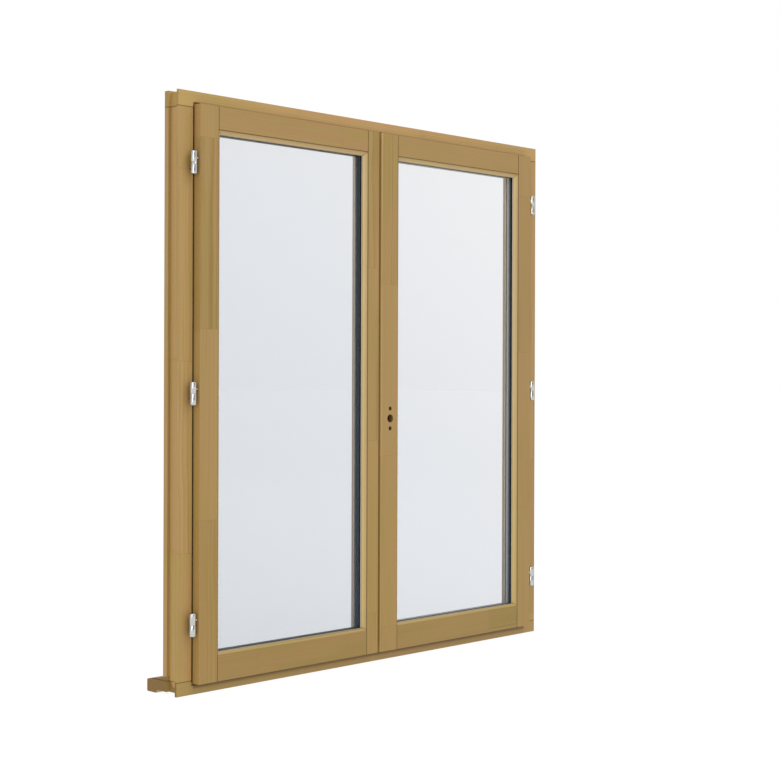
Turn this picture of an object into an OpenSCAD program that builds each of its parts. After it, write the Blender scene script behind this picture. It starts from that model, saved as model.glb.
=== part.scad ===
// Double casement window: a timber frame with two inward-opening glazed leaves.
// X runs across the window, Y from the room to the weather, Z up, all in millimetres.
// The origin is under the middle of the whole window. Leaf parts are drawn for the
// left-hand side, with X counted from the frame's outer edge, and mirrored for the right.

/* [Frame] */
// Overall width of the frame
frame_w = 1085; // [900:5:1400]
// Overall height of the frame
frame_h = 1165; // [1000:5:1500]
// Depth of the frame from its room face to its weather face
frame_d = 42; // [40:1:56]
// Width of the jamb from its outer edge to the rebate
jamb_rebate = 46; // [42:1:60]
// Height of the head from its top to the rebate
head_rebate = 31; // [28:1:45]
// Height of the rebate floor above the underside of the sill
sill_rebate = 27; // [25:1:34]
// Depth of the rebate that holds the leaves
rebate_d = 29; // [27:0.5:32]
// Width of the stop that stands inside the rebate
stop_w = 12; // [8:1:16]
// Width of the recess routed into the frame's face around the leaves
recess_w = 10; // [9:0.5:12]
// Depth of that recess
recess_d = 6; // [5:0.5:8]
// Depth of the wall groove around the outside of the frame
groove_d = 6.5; // [4:0.5:8]
// Depth of the wall groove along the top of the head
head_groove_d = 3; // [2:0.5:6]
// Distance from the room face to the wall groove
groove_y = 5; // [4:0.5:8]
// Width of the wall groove
groove_w = 25.5; // [18:0.5:30]

/* [Sill] */
// Depth of the sill from its room face to its nose
sill_d = 92; // [80:1:120]
// Thickness of the nose
nose_h = 24.6; // [20:0.2:28]
// Radius of the nose's edges
nose_r = 3; // [1:0.5:5]
// Height of the sloping top where it meets the rebate
upstand_z = 36.5; // [33:0.5:40]
// Height of the hollow under the sill
under_h = 6; // [4:0.5:8]
// Distance from the room face to the drip under the nose
drip_y = 64; // [55:1:75]

/* [Leaves] */
// How far the leaves stand proud of the frame's face
leaf_proud = 18; // [16:0.5:22]
// How far the leaf's lip reaches behind the frame's face
lip_in = 2; // [1:0.5:3]
// Gap around the lip
lip_gap = 4; // [3:0.5:5]
// Gap between the leaf's body and the rebate
body_gap = 3; // [2:0.5:4]
// Gap between the back of the leaf and the stop
back_gap = 1; // [0.5:0.1:2]
// Face width of the hinge stiles
stile_face = 46; // [40:1:60]
// Face width of the left leaf's meeting stile
meeting_face = 34; // [32:1:45]
// Face height of the top rails
top_rail_face = 45.5; // [40:0.5:70]
// Face height of the bottom rails
bottom_rail_face = 51.5; // [46:0.5:90]
// Gap between the two meeting stiles at the face
meeting_gap = 8; // [7:0.5:10]
// How far that gap lies to the left of the middle
meeting_shift = 8.5; // [4:0.5:12]
// Step out of the left meeting stile behind its face
meeting_step = 4.5; // [3:0.1:5]
// Depth from the leaf's face to that step
step_in = 10; // [8:0.5:14]
// Relief cut from the right meeting stile's weather half
relief = 2; // [1.5:0.1:3]
// Rounding of the right meeting stile's room arris
round_r = 4; // [2:0.5:6]
// Chamfer around the glass, measured on the face
chamfer = 8.5; // [6:0.5:12]
// Upright edge left between the chamfer and the glazing rebate
sight_edge = 1.5; // [1:0.1:3]
// The same chamfer on the bottom rails
foot_chamfer = 5; // [3:0.5:8]
// Length of the tenons
tenon_l = 20; // [12:1:24]
// Thickness of the tenons
tenon_t = 12; // [8:1:15]

/* [Glazing] */
// Thickness of one pane
pane_t = 4; // [3:0.5:6]
// Width of the gas space between the panes
space_t = 12; // [8:1:14]
// Thickness of each glazing seal
seal_t = 2; // [1.5:0.25:3]
// Depth of the glazing rebate behind the sight line
pocket = 15; // [13:0.5:18]
// How far the glazing beads' faces slope away from the opening
bead_slope = 6.5; // [3:0.5:7]
// Clearance between the beads at their mitres
bead_gap = 0.2; // [0.1:0.1:0.5]
// Clearance around the edge of the glass
glass_gap = 4; // [3:0.5:5]
// Width of the edge seal around the spacer bar
edge_w = 4; // [3:0.5:5]
// Length of a setting block
block_l = 80; // [50:5:100]

/* [Hinges] */
// Distance from the hinge axis to the edge of the leaf
hinge_out = 12; // [10:0.5:16]
// Distance from the hinge axis back to the leaf's face
hinge_back = 5.5; // [4:0.5:8]
// Length of the hinge barrel, both halves together
barrel_l = 45; // [36:1:60]
// Radius of the hinge barrel
barrel_r = 6.5; // [5.5:0.1:7]
// Radius of the hinge pin
pin_r = 3.5; // [2.5:0.1:4]
// Running clearance around the hinge pin
pin_clear = 0.06; // [0.02:0.01:0.1]
// Radius of the screw-in shanks
shank_r = 3; // [2:0.1:3.5]
// Length of shank in the wood
shank_l = 26; // [18:1:32]
// Distance from the split of the barrel to each shank
shank_z = 9; // [6:0.5:12]
// Distance from the frame's top to the top hinges
hinge_drop = 139; // [90:1:200]
// Height of the bottom hinges
hinge_rise = 137; // [90:1:200]

/* [Lock] */
// Height of the handle spindle
handle_z = 524; // [450:1:620]
// Distance from the right leaf's edge to the spindle
backset = 27.5; // [26:0.5:29]
// Distance between the handle's two fixing screws
screw_pitch = 43; // [40:1:50]
// Radius of the handle's screw holes
screw_hole_r = 4; // [3:0.1:5]
// Radius of the spindle hole in the stile
spindle_hole_r = 8.2; // [7:0.1:9]
// Side of the square hole for the spindle
spindle_sq = 7; // [6:0.5:8]
// Number of teeth on the pinion
teeth = 16; // [14:2:16]
// Gear module
gear_m = 1; // [0.9:0.05:1.05]
// Backlash between pinion and racks
backlash = 0.5; // [0.4:0.05:0.7]
// Depth of the lock's centre behind the frame's face
lock_y = 17; // [15:0.5:18]
// Width of the lock rods
rod_w = 10; // [8:0.5:11]
// Thickness of the lock rods
rod_t = 8; // [6:0.5:9]
// Sliding clearance around rods and bolts
slide_gap = 0.3; // [0.2:0.05:0.5]
// Wall thickness of the lock case and the bolt cases
case_wall = 1.5; // [1:0.1:2]
// Height of the lock case
case_h = 108; // [104:1:130]
// Width of the faceplate
plate_w = 16; // [14:0.5:17]
// Thickness of the faceplate and keepers
plate_t = 2.5; // [2:0.1:3]
// Width of the rim around the keepers' slots
keeper_rim = 1.8; // [1.5:0.1:2]
// Number of screws along each half of the faceplate
plate_screws = 3; // [2:1:4]
// Radius of the small screws
small_r = 1.8; // [1.5:0.1:2.2]
// Length of the small screws
small_l = 13; // [11:1:14]
// Length of the left leaf's bolts
bolt_l = 130; // [100:5:180]
// Travel of the left leaf's bolts
bolt_travel = 12; // [10:0.5:13]

/* [Drip bar] */
// How far the drip bar stands out from the bottom rail
drip_out = 20; // [14:1:26]
// Height of the drip bar
drip_h = 20; // [16:1:24]

/* [Hidden] */

$fn = 48;
left = -1;
right = 1;
over = 1;

wood = [0.69, 0.57, 0.38];
end_wood = [0.66, 0.54, 0.36];
zinc = [0.80, 0.81, 0.82];
steel = [0.62, 0.63, 0.65];
rubber = [0.16, 0.15, 0.14];
sealant = [0.80, 0.76, 0.64];
clear_glass = [0.86, 0.90, 0.93, 0.5];
alloy = [0.70, 0.71, 0.72];
plastic = [0.25, 0.26, 0.28];

// Limits of the leaf's lip and body; Z limits are shared by both leaves.
lip_x = jamb_rebate - recess_w + lip_gap;
lip_z0 = sill_rebate - recess_w + lip_gap;
lip_z1 = frame_h - head_rebate + recess_w - lip_gap;
body_x = jamb_rebate + body_gap;
body_z0 = sill_rebate + body_gap;
body_z1 = frame_h - head_rebate - body_gap;
body_y = rebate_d - back_gap;

// Meeting stiles, each counted from its own side of the frame.
left_edge = frame_w / 2 - meeting_shift - meeting_gap / 2;
right_edge = frame_w / 2 + meeting_shift - meeting_gap / 2;
relief_y = lock_y - plate_w / 2 - 0.5;

// Arris, sight line, pocket and glass rectangles: [x0, x1, z0, z1].
arris = [lip_x + stile_face, left_edge - meeting_face,
         lip_z0 + bottom_rail_face, lip_z1 - top_rail_face];
function inset(r, d) = [r[0] + d, r[1] - d, r[2] + d, r[3] - d];
sight = [arris[0] + chamfer, arris[1] - chamfer, arris[2] + foot_chamfer, arris[3] - chamfer];
pocket_r = inset(sight, -pocket);
glass_r = inset(pocket_r, glass_gap);
spacer_r = inset(glass_r, edge_w);
mitre = chamfer + 1;

// Depths of the glazing layers.
sight_y = -leaf_proud + chamfer + sight_edge;
pane_y = sight_y + seal_t;
outer_pane_y = pane_y + pane_t + space_t;
bead_y = outer_pane_y + pane_t + seal_t;

// Hinge axis and heights.
hinge_x = lip_x - hinge_out;
hinge_y = hinge_back - leaf_proud;
hinge_top = frame_h - hinge_drop;
hinge_bottom = hinge_rise;
hinge_middle = (hinge_top + hinge_bottom) / 2;
hinges = [hinge_bottom, hinge_middle, hinge_top];
split_gap = 0.4;
pin_l = barrel_l - 9;

// The frame's face lies here, so that the origin is midway through the whole depth.
front_y = min(-leaf_proud, hinge_y - barrel_r);
face_y = -(front_y + sill_d) / 2;

// Lock.
plate_back = right_edge - relief - plate_t;
spindle_x = right_edge - backset;
gear_r = teeth * gear_m / 2;
pitch = PI * gear_m;
rod_travel = PI / 2 * gear_r;
rod_x1 = plate_back - slide_gap - 0.7;
rod_x0 = rod_x1 - rod_t;
slot_y0 = lock_y - rod_w / 2 - slide_gap;
slot_w = rod_w + 2 * slide_gap;
rack_root = 1.1 * gear_m;
rack_tip = 0.8 * gear_m;
rack_body = 3;
case_x0 = spindle_x - gear_r - rack_root - rack_body - slide_gap - case_wall;
case_z0 = handle_z - case_h / 2;
hub_r = gear_r - 1.6;
jog_h = 8;
rod_end = 0.5;
rod_slot_w = 2 * small_r + 1.2;

// Bolts of the left leaf.
bolt_x1 = left_edge + meeting_step;
bolt_t = 8;
bolt_x0 = bolt_x1 - case_wall - slide_gap - bolt_t;
bolt_case_l = bolt_l + bolt_travel + 18;

// Drip bar under the glass.
drip_z = upstand_z + 6;

// Weather seal: a bulb and a foot, centred between the rebate and the lip's edge.
seal_mid = (recess_w - lip_gap) / 2;
seal_w = 4;
seal_foot_w = 2;
seal_foot_d = 3;
seal_room = 0.4;

/* ---- helpers ---- */

// A part of the frame, drawn with X from the middle and Y from the frame's face.
module in_frame() { translate([0, face_y, 0]) children(); }

// A part of one side, drawn with X from that side's outer edge.
module on_side(s) {
    if (s == right) mirror([1, 0, 0]) translate([-frame_w / 2, face_y, 0]) children();
    else translate([-frame_w / 2, face_y, 0]) children();
}

module box(x0, x1, y0, y1, z0, z1) {
    translate([x0, y0, z0]) cube([x1 - x0, y1 - y0, z1 - z0]);
}

// An outline in X and Z, as thick as y0 to y1.
module slab(y0, y1) {
    translate([0, y1, 0]) rotate([90, 0, 0]) linear_extrude(y1 - y0) children();
}

// An outline in Y and Z, drawn out along X.
module along_x(x0, x1) {
    translate([x0, 0, 0]) rotate([90, 0, 90]) linear_extrude(x1 - x0) children();
}

// A rectangular block from a [x0, x1, z0, z1] rectangle.
module rect_block(r, y0, y1) { box(r[0], r[1], y0, y1, r[2], r[3]); }

// A rectangular ring between two rectangles.
module ring(outer, inner, y0, y1) {
    difference() {
        rect_block(outer, y0, y1);
        rect_block(inner, y0 - over, y1 + over);
    }
}

/* ---- frame ---- */

// Section of a jamb: X from the outer edge, Y from the face.
module jamb_section() {
    polygon([
        [0, 0], [jamb_rebate - recess_w, 0],
        [jamb_rebate - recess_w, recess_d], [jamb_rebate, recess_d],
        [jamb_rebate, rebate_d], [jamb_rebate + stop_w, rebate_d],
        [jamb_rebate + stop_w, frame_d], [0, frame_d],
        [0, groove_y + groove_w], [groove_d, groove_y + groove_w],
        [groove_d, groove_y], [0, groove_y]
    ]);
}

function slope_z(y) = upstand_z - (upstand_z - nose_h) * (y - rebate_d) / (sill_d - nose_r - rebate_d);

// Section of the sill: Y from the face, Z from the underside.
module sill_section() {
    difference() {
        union() {
            polygon([
                [0, 0], [sill_d - nose_r, 0], [sill_d - nose_r, nose_h],
                [rebate_d, upstand_z], [rebate_d, sill_rebate], [0, sill_rebate]
            ]);
            translate([sill_d - 2 * nose_r, nose_r])
                square([2 * nose_r, nose_h - 2 * nose_r - 0.6]);
            translate([sill_d - nose_r, nose_r]) circle(nose_r);
            translate([sill_d - nose_r, nose_h - nose_r]) circle(nose_r);
        }
        polygon([
            [groove_y, -over], [drip_y + over, -over],
            [drip_y - 4, under_h], [groove_y, under_h]
        ]);
    }
}

// The jamb's foot stands in the sill on a tapered tongue.
module foot_tongue(s) {
    on_side(s) along_x(groove_d, jamb_rebate - recess_w - 4) polygon([
        [groove_y + 4, sill_rebate + over], [groove_y + 4, sill_rebate],
        [groove_y + 10, sill_rebate - 11.5], [groove_y + 13, sill_rebate - 11.5],
        [groove_y + 19.5, sill_rebate], [groove_y + 19.5, sill_rebate + over]
    ]);
}

// The jamb's top tenon in the head.
module head_tenon(s) {
    on_side(s) box(groove_d + 5, jamb_rebate - recess_w - 4, 10, 10 + tenon_t,
                   frame_h - head_rebate - over, frame_h - head_rebate + 16);
}

module shank_holes(s) {
    on_side(s) for (z = hinges)
        translate([hinge_x, shank_l, z - shank_z]) rotate([90, 0, 0])
            cylinder(h = shank_l + over, r = shank_r);
}

// Groove for the weather seal's foot, all the way round.
seal_out = [seal_mid + seal_foot_w / 2, seal_mid - seal_foot_w / 2];
function around(d) = [
    jamb_rebate - d - frame_w / 2, frame_w / 2 - jamb_rebate + d,
    sill_rebate - d, frame_h - head_rebate + d
];
module seal_groove() {
    in_frame() ring(around(seal_out[0]), around(seal_out[1]), recess_d - over,
                    recess_d + seal_foot_d);
}

module jamb(s) {
    color(wood) difference() {
        union() {
            difference() {
                on_side(s) linear_extrude(frame_h - head_rebate)
                    jamb_section();
                on_side(s) along_x(-over, jamb_rebate + stop_w + over) union() {
                    translate([-over, -over]) square([sill_d, sill_rebate + over]);
                    polygon([
                        [rebate_d, 0], [sill_d, 0],
                        [sill_d, slope_z(sill_d)], [rebate_d, upstand_z]
                    ]);
                }
            }
            intersection() {
                foot_tongue(s);
                in_frame() box(-frame_w, frame_w, 0, frame_d, 0, sill_rebate + 0.5);
            }
            head_tenon(s);
        }
        shank_holes(s);
        seal_groove();
    }
}

module head() {
    stop_x = frame_w / 2 - jamb_rebate - stop_w;
    face_x = frame_w / 2 - jamb_rebate + recess_w;
    z0 = frame_h - head_rebate;
    color(wood) difference() {
        in_frame() union() {
            box(-frame_w / 2, frame_w / 2, 0, frame_d, z0, frame_h);
            box(-stop_x, stop_x, rebate_d, frame_d, z0 - stop_w, z0 + over);
        }
        in_frame() union() {
            box(-face_x, face_x, -over, recess_d, z0 - over, z0 + recess_w);
            box(-frame_w, frame_w, groove_y, groove_y + groove_w,
                frame_h - head_groove_d, frame_h + over);
            for (s = [-1, 1])
                translate([s * (frame_w / 2 - groove_d / 2 + over / 2), 0, 0])
                    box(-groove_d / 2 - over / 2, groove_d / 2 + over / 2,
                        groove_y, groove_y + groove_w, z0 - over, frame_h + over);
        }
        head_tenon(left);
        head_tenon(right);
        seal_groove();
        keeper_cut(z0, 1);
    }
}

module sill() {
    face_x = frame_w / 2 - jamb_rebate + recess_w;
    color(wood) difference() {
        in_frame() along_x(-frame_w / 2, frame_w / 2) sill_section();
        in_frame() union() {
            box(-face_x, face_x, -over, recess_d, sill_rebate - recess_w, sill_rebate + over);
            for (s = [-1, 1])
                translate([s * (frame_w / 2 - groove_d / 2 + over / 2), 0, 0])
                    box(-groove_d / 2 - over / 2, groove_d / 2 + over / 2,
                        groove_y, groove_y + groove_w, -over, upstand_z + over);
        }
        foot_tongue(left);
        foot_tongue(right);
        seal_groove();
        keeper_cut(sill_rebate, -1);
    }
}

module frame_weather_seal() {
    color(rubber) in_frame() union() {
        ring(around(seal_mid + seal_w / 2), around(seal_mid - seal_w / 2),
             lip_in + seal_room, recess_d);
        ring(around(seal_out[0]), around(seal_out[1]), recess_d, recess_d + seal_foot_d);
    }
}

/* ---- keepers ---- */

// Middles of the two bolt paths, from the middle of the window.
left_bolt_x = (bolt_x0 + bolt_x0 + bolt_t) / 2 - frame_w / 2;
right_rod_x = frame_w / 2 - (rod_x0 + rod_x1) / 2;
keeper_x0 = left_bolt_x - 19;
keeper_x1 = right_rod_x + 19;
keeper_slot = 1;
keeper_y0 = lock_y - rod_w / 2 - keeper_slot - keeper_rim;
keeper_y1 = lock_y + rod_w / 2 + keeper_slot + keeper_rim;

module keeper_slots(z0, z1) {
    for (x = [left_bolt_x, right_rod_x])
        box(x - rod_t / 2 - keeper_slot, x + rod_t / 2 + keeper_slot,
            lock_y - rod_w / 2 - keeper_slot, lock_y + rod_w / 2 + keeper_slot, z0, z1);
}

// A countersunk screw along +Z, its head's face at z = 0 and its point above it.
module small_screw(l) {
    cylinder(h = small_r, r1 = 2 * small_r, r2 = small_r);
    cylinder(h = l - small_r, r = small_r);
    translate([0, 0, l - small_r]) cylinder(h = small_r, r1 = small_r, r2 = 0.3);
}

// The keeper screws; up is 1 in the head and -1 in the sill.
module screws_in_keeper(z, up) {
    for (x = [keeper_x0 + 6, keeper_x1 - 6])
        translate([x, lock_y, z]) rotate([up > 0 ? 0 : 180, 0, 0]) small_screw(small_l);
}

// What the keeper and its mortises take out of the head or the sill.
module keeper_cut(z, up) {
    depth = up > 0 ? 18 : sill_rebate - under_h - 5;
    in_frame() union() {
        box(keeper_x0, keeper_x1, keeper_y0, keeper_y1,
            up > 0 ? z - over : z - plate_t, up > 0 ? z + plate_t : z + over);
        keeper_slots(up > 0 ? z : z - depth, up > 0 ? z + depth : z);
        screws_in_keeper(z, up);
    }
}

module keeper(z, up) {
    color(zinc) in_frame() difference() {
        box(keeper_x0, keeper_x1, keeper_y0, keeper_y1,
            up > 0 ? z : z - plate_t, up > 0 ? z + plate_t : z);
        keeper_slots(z - 2 * plate_t, z + 2 * plate_t);
        screws_in_keeper(z, up);
    }
}

module keeper_screws() {
    color(steel) in_frame() {
        screws_in_keeper(frame_h - head_rebate, 1);
        screws_in_keeper(sill_rebate, -1);
    }
}

/* ---- leaves ---- */

// The leaf's outer shape: a lip over the frame's recess and a body in the rebate.
module leaf_block(s) {
    step_y = step_in - leaf_proud;
    if (s == left) {
        box(lip_x, left_edge, -leaf_proud, step_y, lip_z0, lip_z1);
        box(lip_x, left_edge + meeting_step, step_y - 0.01, lip_in, lip_z0, lip_z1);
        box(body_x, left_edge + meeting_step, lip_in - 0.01, body_y, body_z0, body_z1);
    } else {
        box(lip_x, right_edge - round_r, -leaf_proud, lip_in, lip_z0, lip_z1);
        box(right_edge - round_r - over, right_edge, round_r - leaf_proud, lip_in,
            lip_z0, lip_z1);
        translate([right_edge - round_r, round_r - leaf_proud, lip_z0])
            cylinder(h = lip_z1 - lip_z0, r = round_r);
        box(body_x, right_edge, lip_in - 0.01, relief_y, body_z0, body_z1);
        box(body_x, right_edge - relief, relief_y - 0.01, body_y, body_z0, body_z1);
    }
}

// What is cut out for the glass: an opening with mitred chamfers, and the pocket.
module glass_cut() {
    edge_y = -leaf_proud + chamfer;
    foot_y = -leaf_proud + foot_chamfer;
    out = chamfer + over;
    foot_out = foot_chamfer + over;
    intersection() {
        translate([0, 0, arris[2] - over]) linear_extrude(arris[3] - arris[2] + 2 * over)
            polygon([
                [sight[0], sight_y + over], [sight[0], edge_y],
                [sight[0] - out, edge_y - out], [sight[1] + out, edge_y - out],
                [sight[1], edge_y], [sight[1], sight_y + over]
            ]);
        along_x(arris[0] - over, arris[1] + over) polygon([
            [sight_y + over, sight[2]], [foot_y, sight[2]],
            [foot_y - foot_out, sight[2] - foot_out], [edge_y - out, sight[3] + out],
            [edge_y, sight[3]], [sight_y + over, sight[3]]
        ]);
    }
    rect_block(pocket_r, sight_y, body_y + over);
}

module leaf_wood(s) {
    difference() {
        leaf_block(s);
        glass_cut();
    }
}

// Tenons on the rails' ends, let into the stiles.
module rail_tenons() {
    y0 = lip_in + 5;
    for (x = [[arris[0] - tenon_l, arris[0] + over], [arris[1] - over, arris[1] + tenon_l]],
         z = [[body_z0 + 6, pocket_r[2] - 4], [pocket_r[3] + 4, body_z1 - 6]])
        box(x[0], x[1], y0, y0 + tenon_t, z[0], z[1]);
}

// Outline of a stile in X and Z; the moulding meets the rails' on a mitre.
module stile_outline(x_out, x_in, m) {
    polygon([
        [x_out, lip_z0 - over], [x_in, lip_z0 - over], [x_in, arris[2]],
        [x_in + m, arris[2] + mitre], [x_in + m, arris[3] - mitre],
        [x_in, arris[3]], [x_in, lip_z1 + over], [x_out, lip_z1 + over]
    ]);
}

module hinge_stile(s) {
    color(wood) on_side(s) difference() {
        intersection() {
            leaf_wood(s);
            slab(-leaf_proud - over, body_y + over)
                stile_outline(lip_x - over, arris[0], mitre);
        }
        rail_tenons();
        for (z = hinges) leaf_shank(z, over);
    }
}

module meeting_stile(s) {
    color(wood) on_side(s) difference() {
        intersection() {
            leaf_wood(s);
            slab(-leaf_proud - over, body_y + over)
                stile_outline(right_edge + over, arris[1], -mitre);
        }
        rail_tenons();
        if (s == left) {
            meeting_seal_foot(over);
            bolt_case_block(body_z1, -1, over);
            bolt_case_block(body_z0, 1, over);
        } else {
            lock_cut();
        }
    }
}

module rail(s, top) {
    z_out = top ? lip_z1 + over : lip_z0 - over;
    z_in = top ? arris[3] : arris[2];
    m = top ? -mitre : mitre;
    zone = top ? [frame_h / 2, frame_h] : [0, frame_h / 2];
    color(wood) on_side(s) union() {
        intersection() {
            leaf_wood(s);
            slab(-leaf_proud - over, body_y + over) polygon([
                [arris[0], z_out], [arris[1], z_out], [arris[1], z_in],
                [arris[1] - mitre, z_in + m], [arris[0] + mitre, z_in + m],
                [arris[0], z_in]
            ]);
        }
        intersection() {
            rail_tenons();
            box(0, frame_w, -leaf_proud, body_y, zone[0], zone[1]);
        }
    }
}

module drip_bar(s) {
    color(wood) on_side(s)
        along_x(jamb_rebate + stop_w + 4, left_edge - 2) polygon([
            [body_y, drip_z], [body_y + drip_out - 9, drip_z],
            [body_y + drip_out - 9, drip_z + 3], [body_y + drip_out - 6, drip_z + 3],
            [body_y + drip_out - 6, drip_z], [body_y + drip_out, drip_z],
            [body_y + drip_out, drip_z + 4], [body_y + 3, drip_z + drip_h],
            [body_y, drip_z + drip_h]
        ]);
}

/* ---- glazing ---- */

module pane(s, y) { color(clear_glass) on_side(s) rect_block(glass_r, y, y + pane_t); }

module spacer_bar(s) {
    color(alloy) on_side(s) ring(spacer_r, sight, pane_y + pane_t, outer_pane_y);
}

module edge_seal(s) {
    color(rubber) on_side(s) ring(glass_r, spacer_r, pane_y + pane_t, outer_pane_y);
}

module glazing_seals(s) {
    color(sealant) on_side(s) for (y = [sight_y, bead_y - seal_t])
        ring(inset(sight, -10), sight, y, y + seal_t);
}

// One bead along the top or bottom, from edge p of the rebate to edge q of the opening.
module level_bead(p, q) {
    slope = p > q ? bead_slope : -bead_slope;
    intersection() {
        slab(bead_y, body_y) polygon([
            [pocket_r[0] + bead_gap, p], [pocket_r[1] - bead_gap, p],
            [sight[1] - bead_gap, q], [sight[0] + bead_gap, q]
        ]);
        along_x(pocket_r[0], pocket_r[1])
            polygon([[bead_y, p], [body_y, p], [body_y, q + slope], [bead_y, q]]);
    }
}

// One upright bead, from edge p of the rebate to edge q of the opening.
module upright_bead(p, q) {
    slope = p > q ? bead_slope : -bead_slope;
    intersection() {
        slab(bead_y, body_y) polygon([
            [p, pocket_r[2]], [q, sight[2]], [q, sight[3]], [p, pocket_r[3]]
        ]);
        translate([0, 0, pocket_r[2]]) linear_extrude(pocket_r[3] - pocket_r[2])
            polygon([[p, bead_y], [p, body_y], [q + slope, body_y], [q, bead_y]]);
    }
}

// Four beads, sloped on the weather side and mitred at the corners.
module glazing_beads(s) {
    color(end_wood) on_side(s) {
        for (i = [2, 3]) level_bead(pocket_r[i], sight[i]);
        for (i = [0, 1]) upright_bead(pocket_r[i], sight[i]);
    }
}

module setting_blocks(s) {
    span = glass_r[1] - glass_r[0];
    color(plastic) on_side(s) for (x = [glass_r[0] + span / 5, glass_r[1] - span / 5],
                                   z = [pocket_r[2], glass_r[3]])
        box(x - block_l / 2, x + block_l / 2, pane_y, outer_pane_y + pane_t,
            z, z + glass_gap);
}

// The seal between the leaves: a tip in the gap and a foot in the left stile.
seal_tip = meeting_gap - meeting_step - 1;
seal_y0 = hinge_y + 7.5;
module meeting_seal_foot(extra) {
    x1 = left_edge + meeting_step;
    box(x1 - 3.5, x1 + extra, seal_y0 + 1, seal_y0 + 3, body_z0 - extra, body_z1 + extra);
}
module meeting_seal() {
    x1 = left_edge + meeting_step;
    color(rubber) on_side(left) union() {
        meeting_seal_foot(0);
        box(x1, x1 + seal_tip, seal_y0, seal_y0 + 4, body_z0, body_z1);
    }
}

/* ---- hinges ---- */

// Half a barrel along +Z, with its outer end chamfered.
module half_barrel(bore_r) {
    l = (barrel_l - split_gap) / 2;
    difference() {
        union() {
            cylinder(h = l - 1.2, r = barrel_r);
            translate([0, 0, l - 1.2]) cylinder(h = 1.2, r1 = barrel_r, r2 = barrel_r - 1.2);
        }
        translate([0, 0, -over])
            cylinder(h = (pin_l - split_gap) / 2 + over + 0.5, r = bore_r);
    }
}

module hinge_frame_half(s, z) {
    color(zinc) on_side(s) translate([hinge_x, hinge_y, z - split_gap / 2]) {
        mirror([0, 0, 1]) half_barrel(pin_r);
        translate([0, barrel_r - 1.8, -shank_z + split_gap / 2]) rotate([-90, 0, 0])
            cylinder(h = shank_l - hinge_y - barrel_r + 1.8, r = shank_r);
    }
}

module leaf_shank(z, extra) {
    x0 = hinge_x + barrel_r - 1.8;
    translate([x0, hinge_y, z + shank_z]) rotate([0, 90, 0])
        cylinder(h = lip_x + shank_l - x0, r = shank_r);
}

module hinge_leaf_half(s, z) {
    color(zinc) on_side(s) {
        translate([hinge_x, hinge_y, z + split_gap / 2]) half_barrel(pin_r + pin_clear);
        leaf_shank(z, 0);
    }
}

module hinge_pins(s) {
    color(steel) on_side(s) for (z = hinges)
        translate([hinge_x, hinge_y, z - pin_l / 2]) cylinder(h = pin_l, r = pin_r);
}

/* ---- bolts of the left leaf ---- */

// The case's outer block, from the leaf's end at z towards the middle of the leaf.
module bolt_case_block(z, dir, extra) {
    z1 = z + dir * bolt_case_l;
    box(bolt_x0 - slide_gap - case_wall, bolt_x1 + extra, slot_y0 - case_wall,
        slot_y0 + slot_w + case_wall,
        min(z - dir * extra, z1), max(z - dir * extra, z1));
}

module bolt_case(z, dir) {
    z1 = z + dir * (bolt_case_l - case_wall);
    w0 = z + dir * 60;
    w1 = z + dir * (bolt_case_l - 20);
    difference() {
        bolt_case_block(z, dir, 0);
        box(bolt_x0 - slide_gap, bolt_x1 - case_wall, slot_y0, slot_y0 + slot_w,
            min(z - dir * over, z1), max(z - dir * over, z1));
        box(bolt_x1 - case_wall - over, bolt_x1 + over, lock_y - 3, lock_y + 3,
            min(w0, w1), max(w0, w1));
    }
}

module bolt_cases() {
    color(zinc) on_side(left) {
        bolt_case(body_z1, -1);
        bolt_case(body_z0, 1);
    }
}

// A bolt with a finger notch that shows through its case's window.
module bolt(z, dir) {
    z0 = z + dir * rod_end;
    z1 = z + dir * (rod_end + bolt_l);
    n0 = z + dir * (rod_end + bolt_l - 25);
    n1 = z + dir * (rod_end + bolt_l - 10);
    color(steel) on_side(left) difference() {
        box(bolt_x0, bolt_x0 + bolt_t, lock_y - rod_w / 2, lock_y + rod_w / 2,
            min(z0, z1), max(z0, z1));
        box(bolt_x0 + bolt_t - 3, bolt_x0 + bolt_t + over, lock_y - 2.5, lock_y + 2.5,
            min(n0, n1), max(n0, n1));
    }
}

/* ---- lock of the right leaf ---- */

// Heights of the faceplate's screws below and above the lock case.
case_z1 = case_z0 + case_h;
low_step = (case_z0 - body_z0 - 60) / plate_screws;
high_step = (body_z1 - case_z1 - 60) / plate_screws;
low_screws = [for (i = [1 : plate_screws]) body_z0 + 30 + low_step * (i - 0.5)];
high_screws = [for (i = [1 : plate_screws]) case_z1 + 30 + high_step * (i - 0.5)];

module plate_screw_at(z) {
    translate([right_edge - relief, lock_y, z]) rotate([0, -90, 0]) small_screw(small_l);
}

// What the lock takes out of the right meeting stile.
module lock_cut() {
    y0 = lock_y - rod_w / 2 - slide_gap;
    box(case_x0, plate_back + over, y0 - case_wall, y0 + slot_w + case_wall, case_z0, case_z1);
    box(rod_x0 - slide_gap, plate_back + over, y0, y0 + slot_w, body_z0 - over, body_z1 + over);
    box(plate_back, right_edge + over, lock_y - plate_w / 2, lock_y + plate_w / 2,
        body_z0 - over, body_z1 + over);
    for (z = concat(low_screws, high_screws)) plate_screw_at(z);
    translate([spindle_x, y0, handle_z]) rotate([90, 0, 0])
        cylinder(h = y0 + leaf_proud + over, r = spindle_hole_r);
    for (i = [-1, 1]) translate([spindle_x, y0, handle_z + i * screw_pitch / 2])
        rotate([90, 0, 0]) cylinder(h = y0 + leaf_proud + over, r = screw_hole_r);
}

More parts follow.
